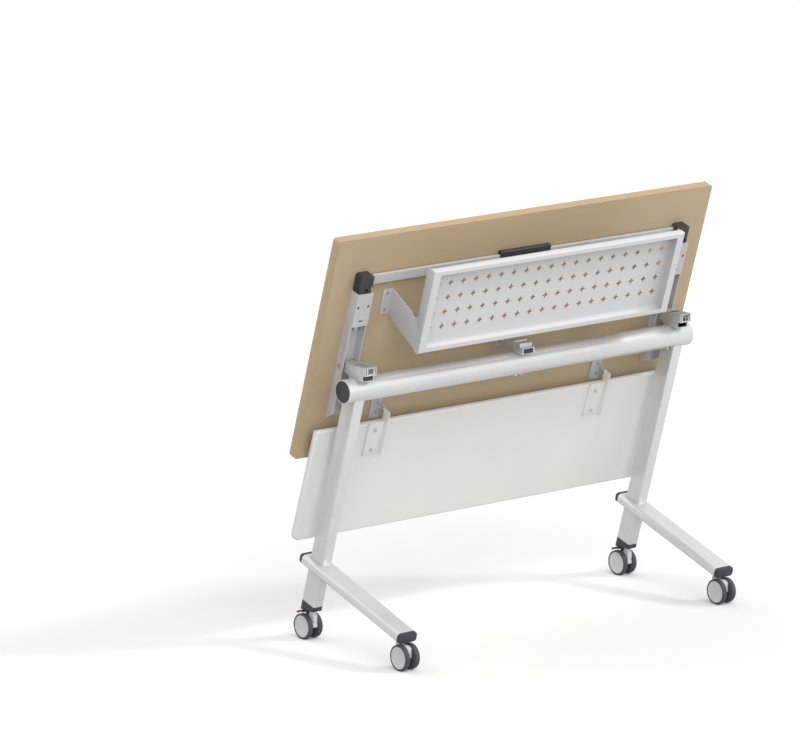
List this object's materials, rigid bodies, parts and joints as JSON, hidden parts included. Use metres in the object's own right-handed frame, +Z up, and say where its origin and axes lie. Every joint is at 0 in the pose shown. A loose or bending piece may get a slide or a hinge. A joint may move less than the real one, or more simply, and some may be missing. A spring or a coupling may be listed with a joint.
{
  "type": "flip top training table",
  "caption": "Rectangular table whose top flips upright for nesting on leaning column legs with twin-wheel casters, a hanging tray, modesty panel and release bar.",
  "frame": {"origin": "on the floor, midway between the sides and between the front and rear wheels", "axes": "+X from side to side, +Y to the rear, +Z up; the stored top's underside faces -Y"},
  "size_m": [1.2, 0.4502, 1.0574],
  "materials": {
    "frame_silver": "fine silver powder coat",
    "cast_alloy": "die-cast, satin silver lacquer",
    "black_plastic": "moulded, fine texture",
    "zinc_steel": "zinc plated",
    "pressed_steel": "silver powder coat",
    "tray_white": "light silver powder coat",
    "panel_white": "off-white powder coat",
    "board_laminate": "wood-grain laminate on chipboard",
    "edge_band": "pale plastic edge band",
    "fork_grey": "moulded light grey nylon",
    "wheel_rubber": "soft black tread with a light grey disc"
  },
  "bodies": {
    "frame": {"beam": "frame_silver", "beam_end_caps": "black_plastic", "left_column": "frame_silver", "right_column": "frame_silver", "left_foot": "frame_silver", "right_foot": "frame_silver", "foot_front_caps": "black_plastic", "foot_rear_caps": "black_plastic", "column_plugs": "black_plastic", "caster_sockets": "black_plastic", "left_hinge_bracket": "cast_alloy", "right_hinge_bracket": "cast_alloy", "centre_hinge_bracket": "cast_alloy", "bracket_bolts": "zinc_steel", "clamp_inserts": "black_plastic", "pivot_pins": "zinc_steel"},
    "top": {"table_top": "board_laminate", "edge_band": "edge_band", "left_channel": "pressed_steel", "right_channel": "pressed_steel", "channel_covers": "pressed_steel", "centre_channel": "pressed_steel", "wood_screws": "zinc_steel", "left_latch_housing": "black_plastic", "right_latch_housing": "black_plastic", "bolt_guides": "black_plastic", "shelf_tray": "tray_white", "left_tray_bracket": "pressed_steel", "right_tray_bracket": "pressed_steel", "modesty_hinge_plates": "pressed_steel", "modesty_pins": "zinc_steel", "return_springs": "zinc_steel"},
    "release": {"release_bar": "pressed_steel", "release_grip": "black_plastic", "latch_bolts": "zinc_steel"},
    "modesty": {"modesty_panel": "panel_white", "modesty_arms": "panel_white", "modesty_screws": "zinc_steel"},
    "front_left_caster": {"front_left_caster_fork": "fork_grey", "front_left_axle": "zinc_steel"},
    "front_left_outer_wheel": {"front_left_wheel_outer": "wheel_rubber"},
    "front_left_inner_wheel": {"front_left_wheel_inner": "wheel_rubber"},
    "front_right_caster": {"front_right_caster_fork": "fork_grey", "front_right_axle": "zinc_steel"},
    "front_right_outer_wheel": {"front_right_wheel_outer": "wheel_rubber"},
    "front_right_inner_wheel": {"front_right_wheel_inner": "wheel_rubber"},
    "rear_left_caster": {"rear_left_caster_fork": "fork_grey", "rear_left_axle": "zinc_steel", "rear_left_brake_pin": "zinc_steel"},
    "rear_left_outer_wheel": {"rear_left_wheel_outer": "wheel_rubber"},
    "rear_left_inner_wheel": {"rear_left_wheel_inner": "wheel_rubber"},
    "rear_left_brake": {"rear_left_brake_pedal": "black_plastic"},
    "rear_right_caster": {"rear_right_caster_fork": "fork_grey", "rear_right_axle": "zinc_steel", "rear_right_brake_pin": "zinc_steel"},
    "rear_right_outer_wheel": {"rear_right_wheel_outer": "wheel_rubber"},
    "rear_right_inner_wheel": {"rear_right_wheel_inner": "wheel_rubber"},
    "rear_right_brake": {"rear_right_brake_pedal": "black_plastic"}
  },
  "joints": [
    {"name": "top_flip", "type": "hinge", "parent": "frame", "child": "top", "pos_m": [0, 0.04328, 0.7185], "axis": [1, 0, 0], "range_deg": [0, 72.4]},
    {"name": "modesty_swing", "type": "hinge", "parent": "top", "child": "modesty", "pos_m": [0, 0.07651, 0.57902], "axis": [1, 0, 0], "range_deg": [-91, 0]},
    {"name": "release_slide", "type": "slide", "parent": "top", "child": "release", "axis": [0, -0.3024, 0.9532], "range_m": [0, 0.005], "stiffness_N_per_m": 600, "springref_m": -0.012, "deforming": ["return_springs"]},
    {"name": "front_left_swivel", "type": "hinge", "parent": "frame", "child": "front_left_caster", "pos_m": [-0.515, -0.1726, 0.08], "axis": [0, 0, 1], "continuous": true},
    {"name": "front_left_outer_roll", "type": "hinge", "parent": "front_left_caster", "child": "front_left_outer_wheel", "pos_m": [-0.515, -0.1926, 0.0325], "axis": [1, 0, 0], "continuous": true},
    {"name": "front_left_inner_roll", "type": "hinge", "parent": "front_left_caster", "child": "front_left_inner_wheel", "pos_m": [-0.515, -0.1926, 0.0325], "axis": [1, 0, 0], "continuous": true},
    {"name": "front_right_swivel", "type": "hinge", "parent": "frame", "child": "front_right_caster", "pos_m": [0.515, -0.1726, 0.08], "axis": [0, 0, 1], "continuous": true},
    {"name": "front_right_outer_roll", "type": "hinge", "parent": "front_right_caster", "child": "front_right_outer_wheel", "pos_m": [0.515, -0.1926, 0.0325], "axis": [1, 0, 0], "continuous": true},
    {"name": "front_right_inner_roll", "type": "hinge", "parent": "front_right_caster", "child": "front_right_inner_wheel", "pos_m": [0.515, -0.1926, 0.0325], "axis": [1, 0, 0], "continuous": true},
    {"name": "rear_left_swivel", "type": "hinge", "parent": "frame", "child": "rear_left_caster", "pos_m": [-0.515, 0.1726, 0.08], "axis": [0, 0, 1], "continuous": true},
    {"name": "rear_left_outer_roll", "type": "hinge", "parent": "rear_left_caster", "child": "rear_left_outer_wheel", "pos_m": [-0.515, 0.1926, 0.0325], "axis": [1, 0, 0], "continuous": true},
    {"name": "rear_left_inner_roll", "type": "hinge", "parent": "rear_left_caster", "child": "rear_left_inner_wheel", "pos_m": [-0.515, 0.1926, 0.0325], "axis": [1, 0, 0], "continuous": true},
    {"name": "rear_left_brake_press", "type": "hinge", "parent": "rear_left_caster", "child": "rear_left_brake", "pos_m": [-0.515, 0.1876, 0.069], "axis": [1, 0, 0], "range_deg": [-5.5, 0]},
    {"name": "rear_right_swivel", "type": "hinge", "parent": "frame", "child": "rear_right_caster", "pos_m": [0.515, 0.1726, 0.08], "axis": [0, 0, 1], "continuous": true},
    {"name": "rear_right_outer_roll", "type": "hinge", "parent": "rear_right_caster", "child": "rear_right_outer_wheel", "pos_m": [0.515, 0.1926, 0.0325], "axis": [1, 0, 0], "continuous": true},
    {"name": "rear_right_inner_roll", "type": "hinge", "parent": "rear_right_caster", "child": "rear_right_inner_wheel", "pos_m": [0.515, 0.1926, 0.0325], "axis": [1, 0, 0], "continuous": true},
    {"name": "rear_right_brake_press", "type": "hinge", "parent": "rear_right_caster", "child": "rear_right_brake", "pos_m": [0.515, 0.1876, 0.069], "axis": [1, 0, 0], "range_deg": [-5.5, 0]}
  ],
  "couplings": [
    {"joint": "modesty_swing", "follows": "top_flip", "ratio": -1.2541}
  ]
}
